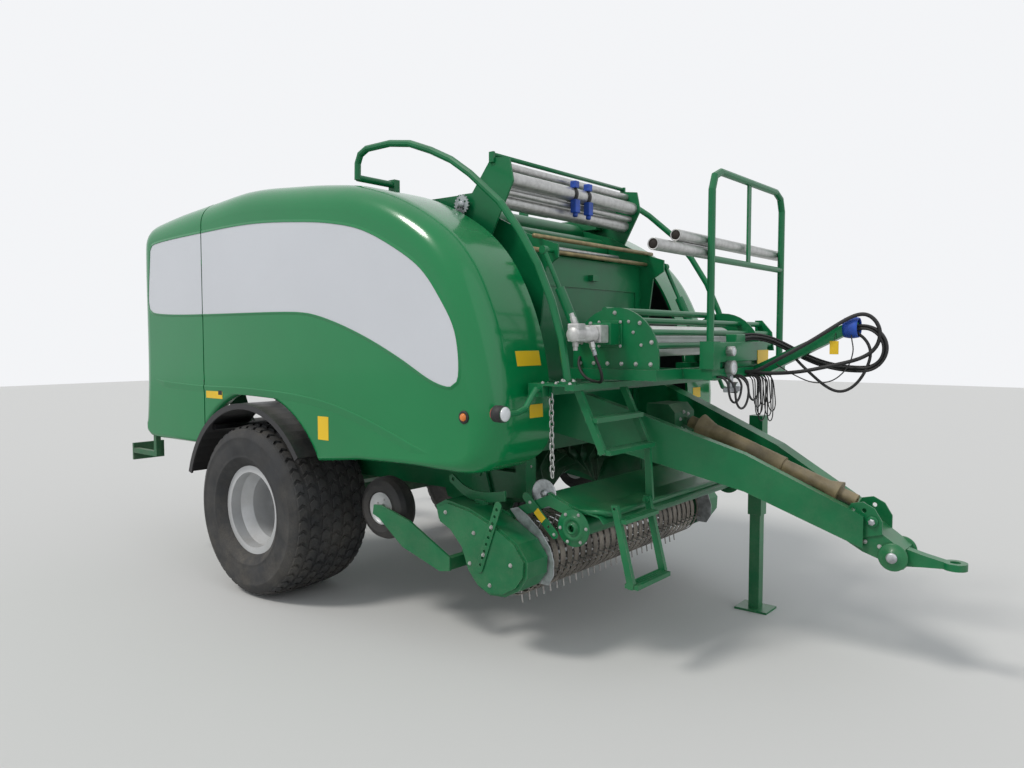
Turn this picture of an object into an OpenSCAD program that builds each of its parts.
// Baler and bale wrapper on one towed chassis.
// Millimetres. +X points forward to the hitch, +Y to the machine's left, +Z up.
// Stations along X are measured from the wheel axle and moved by x_mid at the end.

/* [Wheels and axle] */
// Outer radius of a tyre, and the height of the axle
tyre_r = 609; // [590:1:625]
// Width of a tyre
tyre_w = 650; // [600:5:670]
// Sideways distance from the centre line to a wheel's middle
wheel_y = 1139; // [1135:1:1160]
// Radius of the rim where the tyre's bead sits
rim_r = 286; // [270:1:300]
// Side of the square axle beam
axle_side = 130; // [100:5:150]
// Radius of the axle's spindle
spindle_r = 45; // [35:1:55]

/* [Frame] */
// Sideways distance from the centre line to a chassis rail's inner face
rail_y = 660; // [655:1:665]
// Width of a chassis rail
rail_w = 90; // [70:5:100]
// Height of the rails' lower face
rail_z = 820; // [800:5:840]
// Depth of a rail
rail_h = 160; // [130:5:180]
// Station of the posts beside the wrapping ring
rear_post_x = -600; // [-610:1:-590]
// Station of the front posts
front_post_x = 1880; // [1870:1:1890]
// Side of a post along the machine
post_side = 80; // [70:2:90]
// Height of the upper longitudinal beams' top face
top_beam_z = 2720; // [2700:5:2740]
// Side of the upper longitudinal beams
top_beam_side = 80; // [60:5:90]

/* [Bale chamber] */
// Station of the chamber's centre
chamber_x = 1050; // [1040:1:1060]
// Height of the chamber's centre
chamber_z = 1900; // [1890:1:1910]
// Radius of the circle on which the chamber rollers' centres lie
roller_ring_r = 735; // [725:1:745]
// Radius of a chamber roller
roller_r = 95; // [80:1:100]
// Outer radius of the chamber's side plates
chamber_plate_r = 850; // [840:1:860]
// Thickness of a chamber side plate
chamber_plate_t = 14; // [8:1:14]

/* [Wrapping ring and table] */
// Height of the ring's centre
ring_z = 1640; // [1630:1:1650]
// Inner radius of the turning ring
ring_r = 1045; // [1040:1:1050]
// Radial width of the turning ring
ring_w = 80; // [60:2:84]
// Thickness of the turning ring
ring_t = 45; // [30:1:50]
// Radius of a film roll
film_r = 115; // [90:1:118]
// Length of a film roll
film_len = 745; // [500:5:750]
// Radius of a table roller
table_roller_r = 110; // [80:1:120]
// Length of a table roller
table_roller_len = 1100; // [1000:5:1120]
// Distance between the two table rollers
table_pitch = 720; // [680:5:740]

/* [Side covers] */
// Sideways distance from the centre line to a cover's outer face
cover_y = 1380; // [1370:1:1390]
// Thickness of a cover's wall
cover_t = 26; // [15:1:28]
// Radius of the rounded edge between side face and top
cover_edge_r = 170; // [140:5:180]
// Sideways distance from the centre line to the top's inner edge
cover_inner_y = 856; // [840:2:880]
// Station of the seam between door and rear cover
seam_x = -620; // [-625:1:-615]
// Gap at the seam
seam_gap = 12; // [10:1:20]
// Thickness of the pale inlay on a cover
inlay_t = 4; // [2:0.5:6]

/* [Drawbar] */
// Width of a drawbar beam
drawbar_w = 90; // [70:2:100]
// Station of the hitch eye's centre
hitch_x = 4130; // [4100:5:4160]
// Height of the hitch eye's centre
hitch_z = 640; // [630:1:650]
// Radius of the bore in the hitch eye
hitch_bore_r = 26; // [20:0.5:30]
// Outer radius of the hitch eye
hitch_r = 58; // [50:1:62]
// Thickness of the hitch eye
hitch_t = 36; // [25:1:40]

/* [Pick-up] */
// Half of the width over the tines
tine_half = 977; // [940:1:990]
// Number of tine bars on the reel
tine_bars = 5; // [4:1:6]
// Number of tines on a bar
tines_per_bar = 14; // [12:1:15]
// Radius from the reel's axis to the tips of the tines
tine_tip_r = 262; // [250:1:265]
// Radius of a tine's wire
tine_wire_r = 5; // [3:0.5:6]
// Radius of a gauge wheel
gauge_r = 200; // [190:1:205]

/* [Guards and rails] */
// Radius of the arch guard's pipe
arch_pipe_r = 22; // [16:1:26]
// Radius of the handrail's pipe
handrail_r = 21; // [16:1:24]
// Height of the handrail's top
handrail_z = 2740; // [2700:5:2760]

/* [Hidden] */
$fn = 64;

// Clearance between pieces that lie against each other
seat = 0.3;
// Clearance of a shaft in its bore
run_fit = 0.05;
// Station of the middle of the whole length
tail_x = -1952;
x_mid = (hitch_x + hitch_r + tail_x) / 2;

// Colours of the real finishes
green = "#178a45";
deep_green = "#0f6a35";
steel = "#9a9a98";
black_plastic = "#1d1e20";
rubber_black = "#26272a";

// Both sides of the machine
module both() {
  children();
  mirror([0, 1, 0]) children();
}

// Box from its lowest to its highest corner
module block(lo, hi) {
  translate(lo) cube(hi - lo);
}

// Round bar from p to q
module bar(p, q, r) {
  d = q - p;
  translate(p) rotate([0, acos(d[2] / norm(d)), atan2(d[1], d[0])]) cylinder(h = norm(d), r = r);
}

// Round bar across the machine
module cross_bar(x, z, r, y1, y2) {
  translate([x, y1, z]) rotate([-90, 0, 0]) cylinder(h = y2 - y1, r = r);
}

// Plate whose outline lies in XZ, from y to y + t
module side_plate(points, y, t) {
  translate([0, y + t, 0]) rotate([90, 0, 0]) linear_extrude(t) polygon(points);
}

// Plate whose outline lies in YZ, from x to x + t
module cross_plate(points, x, t) {
  translate([x, 0, 0]) rotate([90, 0, 90]) linear_extrude(t) polygon(points);
}

// Points of an arc about c
function arc(c, r, a0, a1, n) = [for (i = [0:n]) let (a = a0 + (a1 - a0) * i / n) c + r * [cos(a), sin(a)]];

function unit(v) = v / norm(v);
function path_direction(path, i) = unit(path[min(i + 1, len(path) - 1)] - path[min(i, len(path) - 2)]);
function path_tangent(path, i) = unit(path_direction(path, max(i - 1, 0)) + path_direction(path, i));

// Pipe swept along a path that lies roughly in the plane whose normal is given
module pipe(path, r, normal, sides = 10) {
  count = len(path);
  points = [
    for (i = [0:count - 1])
      let (
        t = path_tangent(path, i),
        stretch = 1 / (t * path_direction(path, i)),
        u = unit(cross(normal, t)),
        v = cross(t, u)
      )
      for (k = [0:sides - 1])
        let (a = 360 * k / sides)
        path[i] + r * (cos(a) * stretch * u + sin(a) * v)
  ];
  walls = [
    for (i = [0:count - 2], k = [0:sides - 1])
      let (n = (k + 1) % sides)
      [i * sides + k, (i + 1) * sides + k, (i + 1) * sides + n, i * sides + n]
  ];
  start_cap = [[for (k = [0:sides - 1]) k]];
  end_cap = [[for (k = [sides - 1:-1:0]) (count - 1) * sides + k]];
  polyhedron(points, concat(walls, start_cap, end_cap), convexity = 6);
}

// Everything is drawn from the axle and moved so that the middle of its length is at zero
module placed() {
  translate([-x_mid, 0, 0]) children();
}

// Outer half of the tyre's section as radius and sideways place, from bead to crown
tyre_half = tyre_w / 2;
bead_y = 246;
bead_in = 215;
flange_r = rim_r + 24;
flange_t = 12;
function tyre_outline() = [
  [rim_r + seat, bead_in],
  [rim_r + seat, bead_y - seat],
  [flange_r + 2, bead_y - seat],
  [flange_r + 2, bead_y + 16],
  [flange_r + 30, tyre_half - 25],
  [flange_r + 90, tyre_half - 3],
  [tyre_r - 139, tyre_half],
  [tyre_r - 79, tyre_half - 9],
  [tyre_r - 34, tyre_half - 27],
  [tyre_r - 13, tyre_half - 63],
  [tyre_r - 5, tyre_half - 145],
  [tyre_r, 0]
];
tyre_wall = 26;
module tyre(side) {
  outer = tyre_outline();
  inner = [
    [tyre_r - tyre_wall, 0],
    [tyre_r - 35, tyre_half - 100],
    [tyre_r - 79, tyre_half - 27 - 9],
    [tyre_r - 139, tyre_half - tyre_wall],
    [flange_r + 60, tyre_half - 38],
    [flange_r - 4, bead_in]
  ];
  half = concat(outer, inner);
  color(rubber_black)
    placed() translate([0, side * wheel_y, tyre_r]) rotate([90, 0, 0]) {
      rotate_extrude($fn = 96) polygon(half);
      rotate_extrude($fn = 96) polygon([for (i = [len(half) - 1:-1:0]) [half[i][0], -half[i][1]]]);
    }
}

hub_r = 112;
disc_t = 14;
// Inboard face of the disc, counted from the wheel's middle plane
disc_in = -110;
module rim(side) {
  well_r = rim_r - 40;
  color("silver")
    placed() translate([0, side * wheel_y, tyre_r]) rotate([-90 * side, 0, 0]) difference() {
      union() {
        rotate_extrude($fn = 96) polygon([
          [well_r - 8, -100], [rim_r - 10, -170], [rim_r - 10, -bead_y], [flange_r, -bead_y],
          [flange_r, -bead_y - flange_t], [rim_r - 22, -bead_y - flange_t], [rim_r - 22, -180],
          [well_r - 20, -104], [well_r - 20, 104], [rim_r - 22, 180], [rim_r - 22, bead_y + flange_t],
          [flange_r, bead_y + flange_t], [flange_r, bead_y], [rim_r, bead_y], [rim_r, 160],
          [well_r - 8, 100], [well_r - 8, -60]
        ]);
        rotate_extrude($fn = 96) polygon([
          [well_r - 19, disc_in + 14], [well_r - 19, disc_in + 14 + disc_t], [190, disc_in + 34 + disc_t],
          [150, disc_in + disc_t], [0, disc_in + disc_t], [0, disc_in], [156, disc_in], [190, disc_in + 34]
        ]);
        translate([0, 0, disc_in - 60]) cylinder(h = 160, r = hub_r);
      }
      translate([0, 0, disc_in - 61]) cylinder(h = 142, r = spindle_r + run_fit);
      for (i = [0:9]) rotate(36 * i + 18) translate([205, 0, disc_in - 1]) cylinder(h = 80, r = 14, $fn = 24);
    }
}

module axle() {
  inner_y = rail_y + rail_w;
  color(deep_green) placed() both() {
    block([-axle_side / 2, 0, tyre_r - axle_side / 2], [axle_side / 2, inner_y, tyre_r + axle_side / 2]);
    cross_bar(0, tyre_r, 90, inner_y, wheel_y + disc_in - 65);
    cross_bar(0, tyre_r, spindle_r, inner_y, wheel_y + disc_in + 78);
  }
}

// Radius of the mudguard's inner face
mudguard_r = 740;
mudguard_t = 10;
mudguard_in = 1100;
mudguard_out = 1462;
module mudguards() {
  c = [0, tyre_r];
  outer = arc(c, mudguard_r + mudguard_t, 35, 164, 24);
  inner = arc(c, mudguard_r, 164, 35, 24);
  lip = arc(c, mudguard_r - 30, 164, 35, 24);
  color(black_plastic) placed() both() {
    side_plate(concat(outer, inner), mudguard_in, mudguard_out - mudguard_in);
    side_plate(concat(outer, lip), mudguard_out - 14, 14);
    // Stays from the guard to the rail
    for (a = [50, 90, 130])
      bar(
        [(mudguard_r - 22) * cos(a), rail_y + rail_w, tyre_r + (mudguard_r - 22) * sin(a)],
        [(mudguard_r - 22) * cos(a), mudguard_out - 60, tyre_r + (mudguard_r - 22) * sin(a)], 22);
  }
}

rail_out = rail_y + rail_w;
rail_top = rail_z + rail_h;
front_rail_x = front_post_x + post_side / 2;
rear_rail_x = rear_post_x - post_side / 2;
front_post_top = 1560;
module chassis() {
  color(green) placed() {
    both() {
      block([rear_rail_x, rail_y, rail_z], [front_rail_x, rail_out, rail_top]);
      // Axle brackets under the rails
      side_plate([[-230, rail_z], [-100, tyre_r + axle_side / 2], [100, tyre_r + axle_side / 2], [230, rail_z]],
        rail_y, rail_w);
      // Posts beside the wrapping ring, behind and at the front of the chamber
      block([rear_rail_x, rail_y, rail_top], [rear_rail_x + post_side, rail_out, top_beam_z - top_beam_side]);
      block([front_rail_x - post_side, rail_y, rail_top], [front_rail_x, rail_out, front_post_top]);
      // Stays that carry the mudguards rise from the rail
      for (a = [50, 130])
        block([(mudguard_r - 22) * cos(a) - 30, rail_y, rail_top],
          [(mudguard_r - 22) * cos(a) + 30, rail_out, tyre_r + (mudguard_r - 22) * sin(a) + 30]);
      block([-30, rail_y, rail_top], [30, rail_out, tyre_r + mudguard_r + 8]);
    }
    block([rear_rail_x, -rail_y, rail_z], [rear_rail_x + post_side, rail_y, rail_z + 80]);
    block([60, -rail_y, rail_z], [140, rail_y, rail_z + 80]);
    table_lugs();
    cradle_lugs();
    lift_pins();
  }
}

top_beam_low = top_beam_z - top_beam_side;
module top_frame_body() {
  color(green) placed() {
    both() block([rear_rail_x, rail_y, top_beam_low], [1500, rail_out, top_beam_z]);
    block([rear_rail_x, -rail_y, top_beam_low], [rear_rail_x + top_beam_side, rail_y, top_beam_z]);
    // Headboard over the top rollers
    both() {
      side_plate([[1380, top_beam_low - 260], [1620, top_beam_low - 260], [1830, 2760], [1800, 2900], [1660, 2920],
        [1500, top_beam_z], [1380, top_beam_z]], rail_out + 1, 14);
      block([1400, rail_out, top_beam_low], [1500, rail_out + 1, top_beam_z]);
    }
  }
}

// Side covers. An outline runs clockwise seen from the right; its columns are
// station, height, radius of the rounded edge, sideways place of the rim's inner edge.
arch_gap = 65;
arch_r = mudguard_r + mudguard_t + arch_gap;
seam_front = seam_x + seam_gap / 2;
seam_rear = seam_x - seam_gap / 2;
edge_small = 34;
lip_y = cover_y - 90;
cover_top_z = 2850;
cover_low_z = 1060;
function arch_z(x) = tyre_r + sqrt(arch_r * arch_r - x * x);
door_outline = concat(
  [
    [seam_front, cover_top_z - 38, cover_edge_r, cover_inner_y],
    [-120, cover_top_z, cover_edge_r, cover_inner_y],
    [370, cover_top_z - 26, cover_edge_r, cover_inner_y],
    [720, cover_top_z - 56, cover_edge_r, cover_inner_y],
    [1020, cover_top_z - 98, cover_edge_r, cover_inner_y],
    [1310, cover_top_z - 182, cover_edge_r, cover_inner_y],
    [1560, cover_top_z - 300, cover_edge_r, cover_inner_y],
    [1770, cover_top_z - 442, cover_edge_r, cover_inner_y],
    [1930, cover_top_z - 620, cover_edge_r, cover_inner_y],
    [2055, cover_top_z - 850, cover_edge_r, cover_inner_y],
    [2130, cover_top_z - 1070, cover_edge_r, cover_inner_y],
    [2172, cover_top_z - 1290, cover_edge_r, cover_inner_y],
    [2188, cover_low_z + 320, cover_edge_r, cover_inner_y],
    [2178, cover_low_z + 190, cover_edge_r, cover_inner_y],
    [2140, cover_low_z + 90, cover_edge_r - 10, cover_inner_y + 30],
    [2070, cover_low_z + 25, cover_edge_r - 40, cover_inner_y + 120],
    [1970, cover_low_z, cover_edge_r - 80, cover_inner_y + 260],
    [1800, cover_low_z + 6, edge_small + 20, lip_y - 40],
    [1550, cover_low_z + 15, edge_small, lip_y],
    [1090, cover_low_z, edge_small, lip_y]
  ],
  [
    for (p = arc([0, tyre_r], arch_r, 30, acos(seam_front / arch_r), 12))
      [p[0], p[1], edge_small, cover_y - 60]
  ]
);
// Rounded upper corner at the back
corner_r = 190;
corner_c = [-1365, cover_top_z - 318];
corner_steps = 5;
rear_outline = concat(
  [
    for (p = arc([0, tyre_r], arch_r, acos(seam_rear / arch_r), 150, 3))
      [p[0], p[1], edge_small, cover_y - 60]
  ],
  [
    [-1100, cover_low_z - 45, edge_small, lip_y],
    [-1450, cover_low_z - 38, edge_small, lip_y],
    [-1518, cover_low_z - 18, 60, lip_y - 20],
    [-1552, cover_low_z + 40, 100, lip_y - 60],
    [-1560, cover_low_z + 440, 150, lip_y - 90],
    [-1558, cover_top_z - 500, 150, lip_y - 90]
  ],
  [
    for (i = [0:corner_steps])
      let (p = corner_c + corner_r * [cos(180 - 84 * i / corner_steps), sin(180 - 84 * i / corner_steps)])
      [p[0], p[1], corner_r - 35, lip_y - 90 - 190 * i / corner_steps]
  ],
  [
    [-1070, cover_top_z - 80, cover_edge_r, 900],
    [seam_rear, cover_top_z - 38, cover_edge_r, cover_inner_y]
  ]
);

// Hollow cover between its outline and its flat side face; the seam end is open
edge_steps = 4;
module cover_shell(outline, first_normal, last_normal) {
  n = len(outline);
  function row(i) = outline[i];
  function place(i) = [outline[i][0], outline[i][1]];
  function inward(i) =
    i == 0 ? first_normal :
    i == n - 1 ? last_normal :
    let (d = unit(unit(place(i + 1) - place(i)) + unit(place(i) - place(i - 1)))) [d[1], -d[0]];
  function ring_point(i, phi, wall) =
    let (r = outline[i][2], q = place(i) + inward(i) * (wall + (r - wall) * (1 - cos(phi))))
    [q[0], cover_y - r + (r - wall) * sin(phi), q[1]];
  function rim_point(i, wall) =
    let (q = place(i) + inward(i) * wall) [q[0], outline[i][3], q[1]];
  half_rings = edge_steps + 2;
  rings = 2 * half_rings;
  points = concat(
    [for (i = [0:n - 1]) rim_point(i, 0)],
    [for (j = [0:edge_steps], i = [0:n - 1]) ring_point(i, 90 * j / edge_steps, 0)],
    [for (j = [edge_steps:-1:0], i = [0:n - 1]) ring_point(i, 90 * j / edge_steps, cover_t)],
    [for (i = [0:n - 1]) rim_point(i, cover_t)]
  );
  strips = [
    for (j = [0:rings - 1], i = [0:n - 2], half = [0, 1])
      if (j != half_rings - 1)
        let (a = j * n + i, b = ((j + 1) % rings) * n + i)
        half == 0 ? [a, b, b + 1] : [a, b + 1, a + 1]
  ];
  // The side faces are laced between the outline's upper and lower halves
  laces = [
    for (i = [0:floor(n / 2) - 1], t = [[i, i + 1, n - 1 - i], [i + 1, n - 2 - i, n - 1 - i]])
      if (t[0] < t[1] && t[1] < t[2]) t
  ];
  caps = concat(
    [for (t = laces) [for (k = [2:-1:0]) (half_rings - 1) * n + t[k]]],
    [for (t = laces) [for (k = [0:2]) half_rings * n + t[k]]]
  );
  a = half_rings - 1;
  seam_quads = concat(
    [for (j = [0:a - 1]) n * [j + 1, j, rings - 1 - j, rings - 2 - j]],
    [for (j = [0:a - 1]) [for (k = [rings - 2 - j, rings - 1 - j, j, j + 1]) k * n + n - 1]],
    [[(a + 1) * n, (a + 1) * n + n - 1, a * n + n - 1, a * n]]
  );
  seam_face = [for (q = seam_quads, t = [[0, 1, 2], [0, 2, 3]]) [q[t[0]], q[t[1]], q[t[2]]]];
  polyhedron(points, concat(strips, caps, seam_face), convexity = 8);
}

// Hinges in the seam: a pin on the frame's lug, and a knuckle on the door's edge
hinge_pin_r = 4;
knuckle_r = 5.5;
knuckle_h = 34;
hinge_heights = [1500, 2350];
module door_knuckles() {
  for (z = hinge_heights) difference() {
    union() {
      translate([seam_x, cover_y, z]) cylinder(h = knuckle_h, r = knuckle_r, $fn = 32);
      block([seam_x, cover_y - knuckle_r, z], [seam_front - seat, cover_y - 0.5, z + knuckle_h]);
    }
    translate([seam_x, cover_y, z - 1]) cylinder(h = knuckle_h + 2, r = hinge_pin_r + run_fit, $fn = 32);
  }
}
module hinge_pins() {
  for (z = hinge_heights) {
    block([seam_x - hinge_pin_r, frame_post_y + frame_post_w - 1, z - 12], [seam_x + hinge_pin_r, cover_y + 4, z - seat]);
    translate([seam_x, cover_y, z - 6]) cylinder(h = knuckle_h + 6, r = hinge_pin_r, $fn = 32);
  }
}

module side_door(mirrored) {
  color(green) placed() mirror([0, mirrored, 0]) {
    cover_shell(door_outline, [0, -1], [0, 1]);
    door_knuckles();
  }
}
module rear_cover(mirrored) {
  color(green) placed() mirror([0, mirrored, 0]) cover_shell(rear_outline, [0, 1], [0, -1]);
}

// Pale inlay of the covers, cut at the seam
// Columns: station, depth below the top of the covers
inlay_points = [
  [-1370, 350], [-1340, 315], [-1240, 298], [-600, 270], [10, 260], [490, 288], [870, 330], [1150, 390], [1410, 500],
  [1660, 650], [1810, 820], [1920, 1000], [1950, 1210], [1935, 1280], [1890, 1308], [1830, 1305], [1730, 1275],
  [1490, 1160], [1230, 1050], [950, 955], [710, 895], [550, 875], [-1350, 838], [-1395, 810], [-1410, 760]
];
inlay_outline = [for (p = inlay_points) [p[0], cover_top_z - p[1]]];
module inlay(mirrored, from_x, to_x) {
  color("gainsboro") placed() mirror([0, mirrored, 0]) intersection() {
    side_plate(inlay_outline, cover_y + seat, inlay_t);
    block([from_x, cover_y - 50, 1400], [to_x, cover_y + 50, 2700]);
  }
}

// Posts and arms that carry the covers and the doors' hinges
frame_post_y = 1290;
frame_post_w = 50;
// Height of the lower arm, above the flange of the wheel arch
frame_low = arch_z(rear_rail_x + 60) + cover_t + 20;
module cover_frames() {
  color(deep_green) placed() both() {
    x1 = rear_rail_x;
    x2 = rear_rail_x + 60;
    block([x1, frame_post_y, frame_low], [x2, frame_post_y + frame_post_w, 2630]);
    block([x1, rail_out, frame_low], [x2, frame_post_y, frame_low + 60]);
    block([x1, rail_out, 2570], [x2, frame_post_y, 2630]);
    hinge_pins();
  }
}

// Bale chamber: two fixed side plates, rollers on a circle, a door and a cradle behind
plate_y = rail_y - seat - chamber_plate_t;
chamber_c = [chamber_x, chamber_z];
roller_step = 20;
split_top = 100;
split_low = 260;
door_hinge = [chamber_x - 190, chamber_z + 800];
door_pin_r = 18;
module chamber_sides() {
  fixed = concat(
    arc(chamber_c, chamber_plate_r, split_low + 0.5, 270, 3),
    [[1180, 740], [1560, 690], [1720, 712], [1752, 770], [front_rail_x - 5, 792], [front_rail_x, front_post_top + 40],
      [2005, 2240], [2090, 2290]],
    [[2090, 2370], [1995, 2400], [1860, 2450], [1640, 2560], [1300, 2660]],
    [[chamber_x - 131, chamber_z + 778], [chamber_x - 110, chamber_z + 600]],
    [[chamber_x - 5, chamber_z - 5], [chamber_x - 560, chamber_z - 5]],
    arc(chamber_c, 560, 182, 258, 10)
  );
  color(green) placed() both() side_plate(fixed, plate_y, chamber_plate_t);
}

// Roller with end discs, between side plates whose inner faces lie at half
module chamber_roller(angle, half) {
  x = chamber_x + roller_ring_r * cos(angle);
  z = chamber_z + roller_ring_r * sin(angle);
  cross_bar(x, z, roller_r, -half + 8, half - 8);
  cross_bar(x, z, 30, -half, half);
}

module front_rollers() {
  color(green) placed()
    for (a = [-50:roller_step:90]) chamber_roller(a, plate_y);
}

rotor_x = 1560;
rotor_z = 950;
front_sheet_low = 1420;
module chamber_front() {
  half = plate_y - seat;
  color(green) placed() {
    // Front sheet, leaning back, with a frame round its window and a latch
    difference() {
      side_plate([[1897, front_sheet_low], [1909, front_sheet_low], [1895, 2330], [1883, 2330]], -half, 2 * half);
      block([1840, -half + 70, 1990], [1950, half - 70, 2140]);
    }
    side_plate([[1880, 1980], [1890, 1980], [1888, 2150], [1878, 2150]], -half + 60, 2 * half - 120);
    block([1850, -half, 1250], [1909, half, front_sheet_low]);
    block([1890, -40, 2190], [1935, 40, 2230]);
    // Throat plate over the rotor
    side_plate([[1850, 1090], [1862, 1090], [1909, 1250], [1897, 1250]], -half, 2 * half);
  }
}

top_half = rail_out + 1 - seat;
module top_rollers() {
  // Columns: station, height, radius
  bars = [[1760, 2780, 46], [1706, 2872, 24], [1690, 2655, 44], [1742, 2705, 20], [1590, 2760, 30]];
  color(steel) placed() {
    for (b = bars) cross_bar(b[0], b[1], b[2], -top_half, top_half);
    for (b = [[1700, 2410, 16], [1792, 2330, 16], [1835, 2235, 16]]) cross_bar(b[0], b[1], b[2], -plate_y, plate_y);
  }
}

module upper_door() {
  outline = concat(
    arc(chamber_c, chamber_plate_r, split_top + 1, 178.5, 16),
    [[chamber_x - 740, chamber_z + 25], [chamber_x - 20, chamber_z + 25]]
  );
  color(green) placed() difference() {
    union() {
      both() side_plate(outline, plate_y, chamber_plate_t);
      for (a = [120, 160])
        cross_bar(chamber_x + 800 * cos(a), chamber_z + 800 * sin(a), 24, -plate_y, plate_y);
    }
    cross_bar(door_hinge[0], door_hinge[1], door_pin_r + run_fit, -rail_y, rail_y);
  }
}
module upper_door_rollers() {
  color(green) placed() for (a = [110:roller_step:170]) chamber_roller(a, plate_y);
}
module door_pins() {
  both() cross_bar(door_hinge[0], door_hinge[1], door_pin_r, plate_y - 6, rail_out);
}

cradle_y = plate_y - 6 - chamber_plate_t;
cradle_hinge = [chamber_x - 800, chamber_z - 850];
cradle_pin_r = 20;
module transfer_cradle() {
  band = concat(
    arc(chamber_c, chamber_plate_r, 187, split_low - 0.5, 14),
    arc(chamber_c, 640, split_low - 0.5, 187, 10)
  );
  arm = [[cradle_hinge[0] - 52, 1060], [cradle_hinge[0] - 30, 1008], [cradle_hinge[0] + 50, 1003], [640, 1150],
    [640, 1260], [420, 1420], [310, 1480]];
  color(green) placed() difference() {
    both() union() {
      side_plate(band, cradle_y, chamber_plate_t);
      side_plate(arm, cradle_y, chamber_plate_t);
    }
    cross_bar(cradle_hinge[0], cradle_hinge[1], cradle_pin_r + run_fit, -rail_y, rail_y);
  }
}
module transfer_rollers() {
  color(green) placed() for (a = [190:roller_step:250]) chamber_roller(a, cradle_y);
}
// Lugs and pins that carry the cradle on the rails
module cradle_lugs() {
  both() {
    block([cradle_hinge[0] - 45, rail_y, rail_top], [cradle_hinge[0] + 45, rail_y + 30, cradle_hinge[1] + 40]);
    cross_bar(cradle_hinge[0], cradle_hinge[1], cradle_pin_r, cradle_y - 8, rail_y);
  }
}

// Wrapping ring
fixed_ring_t = 34;
fixed_ring_x = rear_rail_x - seat - fixed_ring_t;
turning_gap = 10;
turning_ring_x = fixed_ring_x - turning_gap - ring_t;
ring_out = ring_r + ring_w;
guide_r = 36;
guide_ring_r = ring_out + seat + guide_r;
guide_angles = [30, 62, 118, 150, 210, 238, 302, 330];
module ring_plate(r1, r2, x, t) {
  translate([x, 0, ring_z]) rotate([0, 90, 0]) difference() {
    cylinder(h = t, r = r2, $fn = 120);
    translate([0, 0, -1]) cylinder(h = t + 2, r = r1, $fn = 120);
  }
}
module ring_frame() {
  color(deep_green) placed() {
    ring_plate(ring_r + 10, guide_ring_r + 26, fixed_ring_x, fixed_ring_t);
    for (a = guide_angles)
      translate([fixed_ring_x - ring_t - 2, guide_ring_r * cos(a), ring_z + guide_ring_r * sin(a)])
        rotate([0, 90, 0]) cylinder(h = ring_t + 2, r = guide_r, $fn = 32);
  }
}
module wrap_ring() {
  color(green) placed() ring_plate(ring_r, ring_out, turning_ring_x, ring_t);
}

// Film dispensers on the ring, one at each side
film_ring_r = ring_r + 135;
bracket_t = 12;
bracket_x = turning_ring_x - seat - bracket_t;
stretch_r = 38;
module film_dispensers() {
  color(steel) placed() for (s = [1, -1])
    translate([0, 0, ring_z]) scale([1, 1, 1]) rotate([s > 0 ? 0 : 180, 0, 0]) {
      cross_plate([[ring_r + 4, -150], [film_ring_r + 60, -150], [film_ring_r + 95, -60], [film_ring_r + 95, 90],
        [film_ring_r + 30, 330], [ring_r - 40, 330], [ring_r + 4, 120]], bracket_x, bracket_t);
      // Stretch rollers, seated on the bracket
      for (z = [190, 280])
        translate([bracket_x, ring_r + 30, z]) rotate([0, -90, 0]) cylinder(h = film_len - 10, r = stretch_r);
      // Spindle inside the roll
      translate([bracket_x, film_ring_r, 0]) rotate([0, -90, 0]) cylinder(h = film_len + 14, r = 30);
    }
}
module film_rolls() {
  color("whitesmoke") placed() for (s = [1, -1])
    translate([0, 0, ring_z]) rotate([s > 0 ? 0 : 180, 0, 0])
      translate([bracket_x - 10, film_ring_r, 0]) rotate([0, -90, 0]) difference() {
        cylinder(h = film_len, r = film_r);
        translate([0, 0, -1]) cylinder(h = film_len + 2, r = 30 + seat);
      }
}

// Wrapping table, which tips about pins on the chassis
table_pin = [rear_rail_x + post_side / 2, 960];
table_pin_r = 20;
table_arm_y = table_roller_len / 2 + 12;
table_arm_t = 28;
table_roller_x = table_pin[0] - 165;
table_roller_z = 975;
table_end_x = tail_x + 22;
module wrap_table() {
  arm = [[table_pin[0] + 45, 925], [table_pin[0] + 45, 1000], [table_roller_x + 40, 1030], [-1000, 1010],
    [table_roller_x - table_pitch + 60, 1030], [table_roller_x - table_pitch - 60, 1030], [table_end_x - 10, 880],
    [table_end_x - 10, 800], [table_end_x + 60, 800], [table_roller_x - table_pitch, 900], [-1000, 915]];
  color(green) placed() difference() {
    union() {
      both() side_plate(arm, table_arm_y, table_arm_t);
      cross_bar(table_end_x, 840, 22, -table_arm_y, table_arm_y);
    }
    cross_bar(table_pin[0], table_pin[1], table_pin_r + run_fit, -rail_y, rail_y);
  }
}
module table_rollers() {
  color(black_plastic) placed() for (i = [0, 1]) {
    x = table_roller_x - i * table_pitch;
    cross_bar(x, table_roller_z, table_roller_r, -table_roller_len / 2, table_roller_len / 2);
    cross_bar(x, table_roller_z, 25, -table_arm_y + seat, table_arm_y - seat);
  }
}
module table_lugs() {
  both() {
    block([rear_rail_x, table_arm_y + table_arm_t + 8, rail_z + 80], [rear_rail_x + post_side, rail_y, 1005]);
    cross_bar(table_pin[0], table_pin[1], table_pin_r, table_arm_y - 6, table_arm_y + table_arm_t + 8);
  }
}

module rear_lamps() {
  color(deep_green) placed() both() {
    block([-1440, 1316, 850], [-1400, 1356, cover_low_z - 45 + 5.5]);
    block([-1780, 1316, 850], [-1400, 1356, 890]);
    block([-1800, 1090, 790], [-1780, 1356, 930]);
    for (y = [1130, 1210, 1290])
      translate([-1812, y, 860]) rotate([0, 90, 0]) cylinder(h = 12, r = 34, $fn = 32);
  }
}
module top_frame() {
  top_frame_body();
  color(green) placed() {
    door_pins();
    arch_posts();
  }
}

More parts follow.
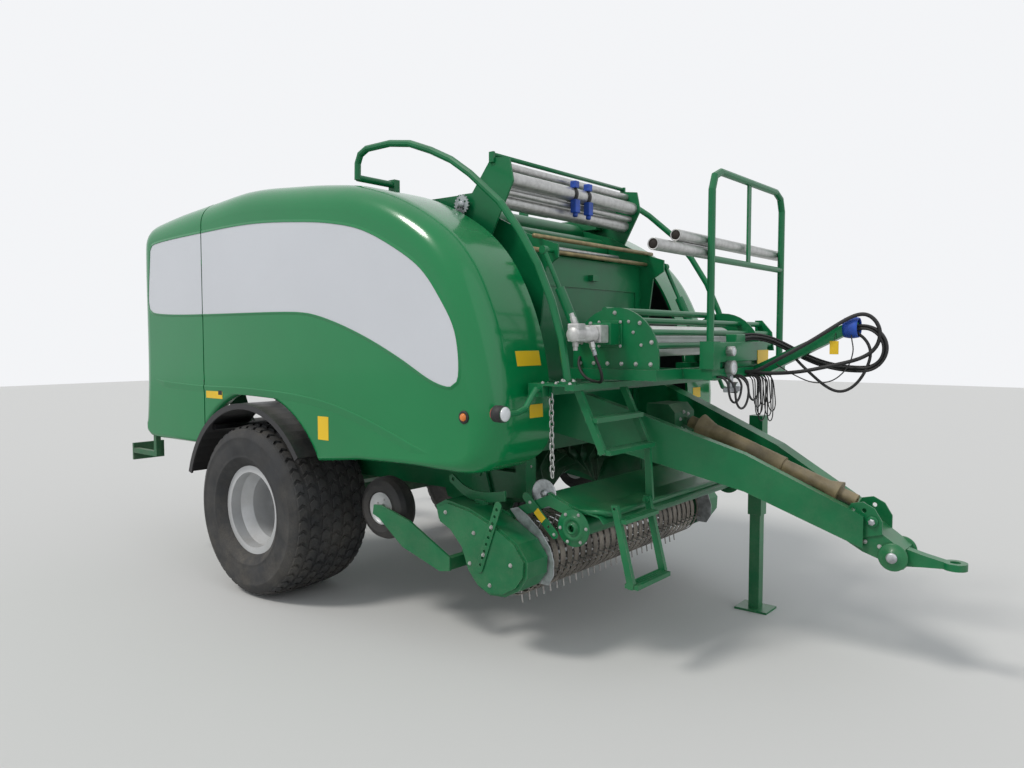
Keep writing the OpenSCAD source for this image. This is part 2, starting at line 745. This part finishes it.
// Drawbar: two tapered beams that run together at the tongue
beam_start = [front_rail_x + 40, 600];
beam_end = [3760, 75];
beam_turn = atan2(beam_start[1] - beam_end[1], beam_end[0] - beam_start[0]);
function beam_y(x) = beam_start[1] - (x - beam_start[0]) * tan(beam_turn);
// Columns: station, height of the top edge, height of the bottom edge
beam_depths = [[1860, 1588, 1278], [1960, 1560, 1250], [2520, 1372, 1112], [3110, 1160, 950], [3700, 862, 690]];
function beam_side() = concat(
  [for (b = beam_depths) [(b[0] - beam_start[0]) / cos(beam_turn), b[1]]],
  [for (i = [len(beam_depths) - 1:-1:0]) [(beam_depths[i][0] - beam_start[0]) / cos(beam_turn), beam_depths[i][2]]]
);
pto_start = [2640, 0, 1290];
pto_slope = 20.56;
pto_guard_r = 42;
pto_rest_s = 850;
function pto_point(s, drop) =
  [pto_start[0] + s * cos(pto_slope) - drop * sin(pto_slope), pto_start[2] - s * sin(pto_slope) - drop * cos(pto_slope)];
jack_x = 2850;
jack_y = 560;
jack_side = 90;
jack_leg_side = 70;
jack_pin_r = 10;
tongue_x = 3905;
module drawbar() {
  rest_low = [pto_point(pto_rest_s - 20, pto_guard_r + seat), pto_point(pto_rest_s + 20, pto_guard_r + seat)];
  color(green) placed() difference() {
    union() {
      both() {
        translate([beam_start[0], beam_start[1], 0]) rotate([0, 0, -beam_turn])
          side_plate(beam_side(), -drawbar_w / 2, drawbar_w);
        block([front_rail_x + seat, 520, 1240], [front_rail_x + 26, 675, 1480]);
      }
      // Cross members between the beams, the shaft's rest and the tongue
      block([2320, -480, 1180], [2400, 480, 1290]);
      block([2860, -330, 1010], [2930, 330, 1090]);
      side_plate([[rest_low[0][0], 840], rest_low[0], rest_low[1], [rest_low[1][0], 840]], -160, 320);
      side_plate([[3560, 740], [3600, 842], [3760, 800], [tongue_x, 700], [tongue_x, 600], [3700, 664]], -96, 192);
      // Bracket of the parking jack
      block([jack_x - 30, beam_y(jack_x), 1060], [jack_x + 30, jack_y - jack_side / 2 - seat, 1180]);
    }
    block([1700, -900, 1100], [front_rail_x + seat, 900, 1700]);
  }
}

module hitch_eye() {
  color(green) placed() difference() {
    union() {
      side_plate([[tongue_x + seat, 604], [tongue_x + seat, 696], [3990, 676], [hitch_x - 40, hitch_z + hitch_t / 2 - 1],
        [hitch_x - 40, hitch_z - hitch_t / 2 + 1], [3990, 614]], -32, 64);
      translate([hitch_x, 0, hitch_z - hitch_t / 2]) cylinder(h = hitch_t, r = hitch_r);
    }
    translate([hitch_x, 0, hitch_z - hitch_t]) cylinder(h = 2 * hitch_t, r = hitch_bore_r);
  }
}

module jack_sleeve() {
  half = jack_side / 2;
  inner = jack_leg_side / 2 + 3;
  color(green) placed() difference() {
    block([jack_x - half, jack_y - half, 640], [jack_x + half, jack_y + half, 1300]);
    block([jack_x - inner, jack_y - inner, 600], [jack_x + inner, jack_y + inner, 1290]);
    cross_bar(jack_x, 800, jack_pin_r + run_fit, jack_y - 100, jack_y + 100);
  }
}
module jack_leg() {
  half = jack_leg_side / 2;
  color(green) placed() {
    block([jack_x - half, jack_y - half, 14], [jack_x + half, jack_y + half, 1200]);
    block([jack_x - 110, jack_y - 90, 0], [jack_x + 110, jack_y + 90, 14]);
    cross_bar(jack_x, 800, jack_pin_r, jack_y - jack_side / 2 - 15, jack_y + jack_side / 2 + 15);
  }
}

module gearbox() {
  color(deep_green) placed() {
    side_plate([[2400 + seat, 1190], [2560, 1190], [2596, 1230], [2596, 1350], [2550, 1400], [2400 + seat, 1400]],
      -130, 260);
    translate([2596, 0, 1290]) rotate([0, 90, 0]) cylinder(h = 30, r = 26);
  }
}

pto_bore_r = 17.5;
pto_len = 1068;
module pto_shaft() {
  color("#a08c5a") placed() translate(pto_start) rotate([0, 90 + pto_slope, 0]) difference() {
    union() {
      cylinder(h = 90, r = 38);
      translate([0, 0, 70]) cylinder(h = 90, r1 = 78, r2 = 52);
      translate([0, 0, 150]) cylinder(h = 480, r = 52);
      translate([0, 0, 600]) cylinder(h = 330, r = pto_guard_r);
      translate([0, 0, 900]) cylinder(h = 70, r1 = pto_guard_r, r2 = 66);
      translate([0, 0, 960]) cylinder(h = pto_len - 960, r = 36);
    }
    translate([0, 0, pto_len - 70]) cylinder(h = 80, r = pto_bore_r);
  }
}

// Frame in front of the chamber that carries steps, net unit and handrail
step_x = 2215;
step_side = 60;
step_low = 1490;
step_top = 1550;
deck_low = 1575;
deck_top = 1635;
rail_post_x = 2950;
near_post_y = -400;
far_post_y = 640;
bracket_out = 1110;
module step_frame() {
  color(green) placed() {
    both() {
      block([front_rail_x + seat, 680, 1500], [step_x + 5, 740, step_top]);
      block([step_x, 980, step_top], [2520, bracket_out, step_top + 12]);
      // Seat of the side lamp's arm
      block([step_x + step_side - 1, bracket_out - 60, step_low], [lamp_x + 25, bracket_out, step_top]);
      block([step_x, 680, step_top - 5], [step_x + step_side, 740, deck_top]);
      block([step_x, 680, deck_low], [2800, 740, deck_top]);
    }
    block([step_x, -bracket_out, step_low], [step_x + step_side, bracket_out, step_top]);
    for (y = [near_post_y, far_post_y]) {
      block([step_x, y - 30, step_top - 5], [step_x + step_side, y + 30, deck_top]);
      block([step_x, y - 30, deck_low], [rail_post_x + 30, y + 30, deck_top]);
    }
    block([rail_post_x - 30, near_post_y, deck_low], [rail_post_x + 30, far_post_y, deck_top]);
    block([2740, -740, deck_low], [2800, 740, deck_top]);
    block([2460, -bracket_out, 1530], [2520, near_post_y, step_top + 12]);
    block([2460, near_post_y - 30, step_top], [2520, near_post_y, deck_low + 5]);
  }
}

arch_y = 1050;
module arch_guards() {
  t = cover_top_z;
  path = [[745, t], [748, t + 105], [775, t + 160], [840, t + 188], [1060, t + 190], [1240, t + 162], [1420, t + 95],
    [1590, t + 15], [1740, t - 85], [1970, t - 275], [2110, t - 445], [2235, t - 635], [2330, t - 840],
    [2400, t - 1050], [2440, step_top + 25]];
  color(green) placed() both() {
    pipe([for (p = path) [p[0], arch_y, p[1]]], arch_pipe_r, [0, 1, 0]);
    cross_bar(745, t + 12, arch_pipe_r, rail_out + seat, arch_y);
    translate([2440, arch_y, step_top + 12 + seat]) cylinder(h = 14, r = 48);
  }
}
module arch_posts() {
  both() block([715, rail_out - 50, top_beam_z], [775, rail_out, cover_top_z + 45]);
}

module handrail() {
  low = deck_top + seat;
  path = [[near_post_y, low], [near_post_y, handrail_z - 110], [near_post_y + 32, handrail_z - 32],
    [near_post_y + 110, handrail_z], [far_post_y - 110, handrail_z], [far_post_y - 32, handrail_z - 32],
    [far_post_y, handrail_z - 110], [far_post_y, low]];
  color(green) placed() {
    pipe([for (p = path) [rail_post_x, p[0], p[1]]], handrail_r, [1, 0, 0]);
    cross_bar(rail_post_x, 2250, handrail_r - 3, near_post_y, far_post_y);
    block([rail_post_x - 6, 90, 2250], [rail_post_x + 6, 130, handrail_z]);
    block([rail_post_x - 42, near_post_y - 42, low], [rail_post_x + 42, near_post_y + 42, 1790]);
  }
}

carrier_r = 32;
module roll_carriers() {
  x = rail_post_x - handrail_r * cos(180 / 10) - carrier_r - seat;
  color(steel) placed() {
    cross_bar(x, 2285, carrier_r, -960, near_post_y + 60);
    cross_bar(x, 2352, carrier_r, -720, far_post_y + 60);
  }
}

net_c = [2520, 1700];
net_r = 280;
net_y = 700;
net_plate_t = 12;
module net_unit() {
  outline = concat([[net_c[0] - net_r, deck_top + seat], [net_c[0] + net_r, deck_top + seat]], arc(net_c, net_r, 0, 180, 20));
  color(green) placed() {
    both() side_plate(outline, net_y, net_plate_t);
    // Columns: station, height, radius, left end
    for (b = [[2450, 1965, 20, net_y + 5], [2640, 1905, 18, 1060], [2700, 1840, 18, 1060], [2720, 1765, 18, 1060]])
      cross_bar(b[0], b[1], b[2], -net_y - 5, b[3]);
    side_plate([[2610, 1720], [2750, 1720], [2735, 1850], [2660, 1935], [2610, 1935]], 1060, 12);
  }
}
module net_rollers() {
  color(black_plastic) placed() {
    cross_bar(2330, 1760, 48, -net_y + seat, net_y - seat);
    cross_bar(2400, 1850, 36, -net_y + seat, net_y - seat);
  }
}
module net_roll() {
  color("whitesmoke") placed() {
    cross_bar(2540, 1790, 92, -615, 615);
    cross_bar(2540, 1790, 20, -net_y + seat, net_y - seat);
  }
}

module tension_cylinders() {
  top = [2050, 745, 2330];
  low = [2300, 745, 1822];
  d = unit(low - top);
  color(steel) placed() both() {
    bar(top, low, 14);
    bar(top + 260 * d, low - 20 * d, 30);
    cross_bar(top[0], top[2], 24, 727, 763);
    cross_bar(low[0], low[2], 34, 722, 768);
    cross_bar(top[0], top[2], 12, plate_y + chamber_plate_t + seat, 745);
    cross_bar(low[0], low[2], 12, net_y + net_plate_t + seat, 745);
  }
}

module hose_arm() {
  color(green) placed() side_plate([[rail_post_x + 30 + seat, 1578], [rail_post_x + 30 + seat, 1640], [3540, 1906],
    [3568, 1896], [3560, 1850], [rail_post_x + 60, 1572]], 150, 62);
}

// Ladder: fixed upper part and folding lower part
ladder_right = -1040;
ladder_left = -550;
fold_x = 2690;
fold_z = 905;
fold_pin_r = 8;
ladder_bar = 26;
// Sideways place of the link that carries the folding part
fold_link_y = ladder_left - 56;
module ladder_upper() {
  stringer = [[2468, 1529.7], [2512, 1529.7], [2672, 1205], [2636, 1190]];
  color(green) placed() {
    for (y = [ladder_right, ladder_left - ladder_bar]) side_plate(stringer, y, ladder_bar);
    block([2540, ladder_right + 5, 1360], [2620, ladder_left - 5, 1385]);
    block([2620, ladder_right + 5, 1195], [2700, ladder_left - 5, 1220]);
    // Link down to the folding part
    side_plate([[2655, 1200], [2690, 1200], [fold_x + 22, fold_z], [fold_x + 15, fold_z - 18], [fold_x - 15, fold_z - 18],
      [fold_x - 22, fold_z]], fold_link_y, 20);
    cross_bar(fold_x, fold_z, fold_pin_r, fold_link_y - 60, fold_link_y);
  }
}
module ladder_lower() {
  stringer = [[fold_x - 20, fold_z + 18], [fold_x + 16, fold_z + 18], [2812, 520], [2806, 490], [2776, 490]];
  color(green) placed() difference() {
    union() {
      for (y = [ladder_right + 60, ladder_left - 86]) side_plate(stringer, y, ladder_bar);
      block([2700, ladder_right + 65, 830], [2760, ladder_left - 70, 850]);
      block([2756, ladder_right + 65, 492], [2836, ladder_left - 70, 516]);
      cross_bar(fold_x, fold_z, 18, ladder_left - 100, ladder_left - 70);
    }
    cross_bar(fold_x, fold_z, fold_pin_r + run_fit, -1100, -400);
  }
}

lamp_x = 2290;
module side_lamps() {
  path = [[bracket_out + seat, 1530], [bracket_out + 30, 1530], [1170, 1500], [1230, 1435], [1300, 1415], [1430, 1415]];
  color(green) placed() both() {
    pipe([for (p = path) [lamp_x, p[0], p[1]]], 16, [1, 0, 0]);
    translate([lamp_x - 30, 1440, 1420]) rotate([0, 90, 0]) cylinder(h = 60, r = 42, $fn = 40);
  }
}

// Pick-up
reel_c = [2010, 520];
band_r = 205;
band_t = 4;
band_w = 46;
tine_pitch = 2 * tine_half / (tines_per_bar * 2);
end_plate_y = tine_half + 22;
end_plate_t = 14;
lift_r = 22;
// Shelf that carries the bands' rear ends
shelf_x = 1795;
shelf_w = 45;
shelf_z = 728;
shelf_t = 12;
crop_pin = [1960, 762];
crop_pin_r = 14;
crop_arm_t = 13;
crop_arm_y = end_plate_y - 5 - crop_arm_t;
module pickup_frame() {
  side = [[1960, 395], [2090, 400], [2150, 520], [2090, 660], [2000, 800], [1720, 850], [1640, 800], [1630, 430],
    [1760, 420]];
  color(green) placed() {
    both() {
      difference() {
        side_plate(side, end_plate_y, end_plate_t);
        cross_bar(reel_c[0], reel_c[1], 36 + run_fit, end_plate_y - 5, end_plate_y + 40);
      }
    }
    cross_bar(1690, 635, 40, -end_plate_y - 2, end_plate_y + 2);
    difference() {
      // Arms up to the lift's pivots
      both() side_plate([[1650, 600], [1730, 600], [1610, 990], [rotor_x, 1010], [1510, 990], [1500, 900]],
        rail_out + 8, 18);
      cross_bar(rotor_x, rotor_z, lift_r + run_fit, -1000, 1000);
    }
    block([shelf_x, -end_plate_y - 2, shelf_z], [shelf_x + shelf_w, end_plate_y + 2, shelf_z + shelf_t]);
    both() {
      side_plate([[1670, 640], [1710, 640], [shelf_x + shelf_w, shelf_z + 2], [shelf_x, shelf_z + 2]], 930, 20);
      cross_bar(crop_pin[0], crop_pin[1], crop_pin_r, crop_arm_y - 6, end_plate_y + 2);
    }
  }
}
module lift_pins() {
  both() cross_bar(rotor_x, rotor_z, lift_r, rail_out, rail_out + 34);
}

// Reel with its tine bars
module pickup_reel() {
  bar_ring = 128;
  color("silver") placed() translate([reel_c[0], 0, reel_c[1]]) {
    translate([0, -end_plate_y - 10, 0]) rotate([-90, 0, 0]) cylinder(h = 2 * end_plate_y + 20, r = 36);
    for (y = [-tine_half - 6, -3, tine_half - 2]) translate([0, y, 0]) rotate([-90, 0, 0]) cylinder(h = 8, r = 150);
    for (b = [0:tine_bars - 1]) rotate([0, 360 * b / tine_bars + 10, 0]) {
      translate([bar_ring, -tine_half, 0]) rotate([-90, 0, 0]) cylinder(h = 2 * tine_half, r = 16, $fn = 24);
      for (i = [0:2 * tines_per_bar - 1])
        translate([bar_ring, -tine_half + tine_pitch * (i + 0.5), 0])
          rotate([0, 90, 0]) cylinder(h = tine_tip_r - bar_ring, r = tine_wire_r, $fn = 6);
    }
  }
}

module pickup_bands() {
  shelf_top = shelf_z + shelf_t + seat;
  section = concat(
    arc(reel_c, band_r, -115, 95, 22),
    [[1880, shelf_top + band_t + 6], [shelf_x + 4, shelf_top + band_t], [shelf_x + 4, shelf_top],
      [1880, shelf_top + 6]],
    arc(reel_c, band_r - band_t, 95, -115, 22)
  );
  strip = tine_pitch - band_w;
  color("#8c8578") placed() {
    for (i = [1:2 * tines_per_bar - 1])
      side_plate(section, -tine_half + tine_pitch * i - band_w / 2, band_w);
    block([shelf_x + 2, -end_plate_y + seat, shelf_top], [shelf_x + shelf_w, end_plate_y - seat, shelf_top + band_t]);
    both() side_plate(section, tine_half - 1, end_plate_y - tine_half + 1 - seat);
  }
}

module pickup_guards() {
  outline = [[1590, 820], [1670, 862], [1860, 832], [2060, 760], [2210, 680], [2280, 590], [2275, 500], [2220, 425],
    [2120, 368], [2010, 358], [1920, 395], [1850, 470], [1800, 600], [1700, 700], [1610, 740]];
  y = end_plate_y + end_plate_t + seat;
  color(green) placed() both() {
    difference() {
      side_plate(outline, y, 180);
      cross_bar(reel_c[0], reel_c[1], 42, y - 5, y + 20);
    }
    side_plate([for (p = outline) [1960 + 0.93 * (p[0] - 1960), 600 + 0.93 * (p[1] - 600)]], y + 170, 25);
  }
}

module crop_guard() {
  arm = [[1934, 786], [1938, 750], [1960, 742], [1990, 744], [2270, 868], [2400, 830], [2420, 740], [2470, 740], [2470, 860],
    [2280, 935]];
  hood = [[2250, 935], [2270, 945], [2470, 872], [2600, 850], [2632, 815], [2626, 812], [2596, 843], [2466, 865]];
  color(green) placed() {
    both() difference() {
      side_plate(arm, crop_arm_y, crop_arm_t);
      cross_bar(crop_pin[0], crop_pin[1], crop_pin_r + run_fit, crop_arm_y - 10, crop_arm_y + 50);
    }
    cross_bar(2445, 770, 60, -crop_arm_y - 1, crop_arm_y + 1);
    side_plate(hood, -crop_arm_y - 1, 2 * crop_arm_y + 2);
  }
}

rotor_r = 230;
module feed_rotor() {
  half = plate_y - 12;
  color(deep_green) placed() translate([rotor_x, 0, rotor_z]) {
    translate([0, -plate_y + seat, 0]) rotate([-90, 0, 0]) cylinder(h = 2 * plate_y - 2 * seat, r = 70);
    for (i = [0:10])
      translate([0, -half + 30 + i * (2 * half - 60) / 10, 0]) rotate([90, 18 * i, 0])
        linear_extrude(10, center = true)
          polygon([for (k = [0:7]) let (r = k % 2 == 0 ? rotor_r : 90, a = 45 * k) r * [cos(a), sin(a)]]);
  }
}

gauge_c = [1060, 720];
gauge_y = 1090;
gauge_w = 160;
gauge_pin_r = 14;
module gauge_arms() {
  arm = [[1030, 690], [1090, 670], [1300, 520], [1620, 425], [1700, 440], [1700, 520], [1620, 560], [1360, 690],
    [1100, 755], [1040, 750]];
  color(green) placed() both() {
    side_plate(arm, gauge_y + gauge_w / 2 + 12, 16);
    cross_bar(gauge_c[0], gauge_c[1], gauge_pin_r, gauge_y - gauge_w / 2, gauge_y + gauge_w / 2 + 14);
    block([1640, end_plate_y + end_plate_t + seat, 440], [1690, gauge_y + gauge_w / 2 + 14, 510]);
  }
}
module gauge_wheel(side) {
  w = gauge_w / 2;
  color(rubber_black) placed() translate([gauge_c[0], side * gauge_y, gauge_c[1]]) rotate([90, 0, 0]) difference() {
    rotate_extrude() polygon([[0, -40], [95, -40], [100, -w + 30], [112, -w + 8], [150, -w], [185, -w + 18], [gauge_r, -w + 50],
      [gauge_r, w - 50], [185, w - 18], [150, w], [112, w - 8], [100, w - 30], [95, 40], [0, 40]]);
    cylinder(h = 2 * w, r = gauge_pin_r + run_fit, center = true);
  }
}

// Hydraulic hoses and the light cable, swept along hand-chosen points
hose_r = 11;
hose_paths = [
  [[2980.3, 20, 1608], [3030, 20, 1608], [3100, 22, 1640], [3180, 30, 1690], [3300, 60, 1760], [3420, 90, 1840], [3540, 120, 1925],
    [3620, 150, 1950], [3680, 160, 1900], [3700, 170, 1820], [3660, 180, 1730], [3560, 170, 1680], [3440, 130, 1650],
    [3300, 110, 1615], [3160, 92, 1600], [3040, 84, 1600], [2980.3, 84, 1600]]
];
module hoses() {
  color(black_plastic) placed() for (path = hose_paths) pipe(path, hose_r, [0, 1, 0], 8);
}

chassis();
axle();
rim(-1);  // rim_right
rim(1);  // rim_left
tyre(-1);  // tyre_right
tyre(1);  // tyre_left
mudguards();
chamber_sides();
chamber_front();
front_rollers();
top_rollers();
top_frame();
upper_door();
upper_door_rollers();
transfer_cradle();
transfer_rollers();
cover_frames();
side_door(1);  // side_door_right
side_door(0);  // side_door_left
rear_cover(1);  // rear_cover_right
rear_cover(0);  // rear_cover_left
inlay(1, seam_front, 3000);  // inlay_door_right
inlay(0, seam_front, 3000);  // inlay_door_left
inlay(1, -2000, seam_rear);  // inlay_rear_right
inlay(0, -2000, seam_rear);  // inlay_rear_left
ring_frame();
wrap_ring();
film_dispensers();
film_rolls();
wrap_table();
table_rollers();
rear_lamps();
drawbar();
hitch_eye();
jack_sleeve();
jack_leg();
gearbox();
pto_shaft();
step_frame();
arch_guards();
handrail();
roll_carriers();
net_unit();
net_rollers();
net_roll();
tension_cylinders();
hose_arm();
ladder_upper();
ladder_lower();
side_lamps();
pickup_frame();
pickup_reel();
pickup_bands();
pickup_guards();
crop_guard();
feed_rotor();
gauge_arms();
gauge_wheel(-1);  // gauge_wheel_right
gauge_wheel(1);  // gauge_wheel_left
hoses();
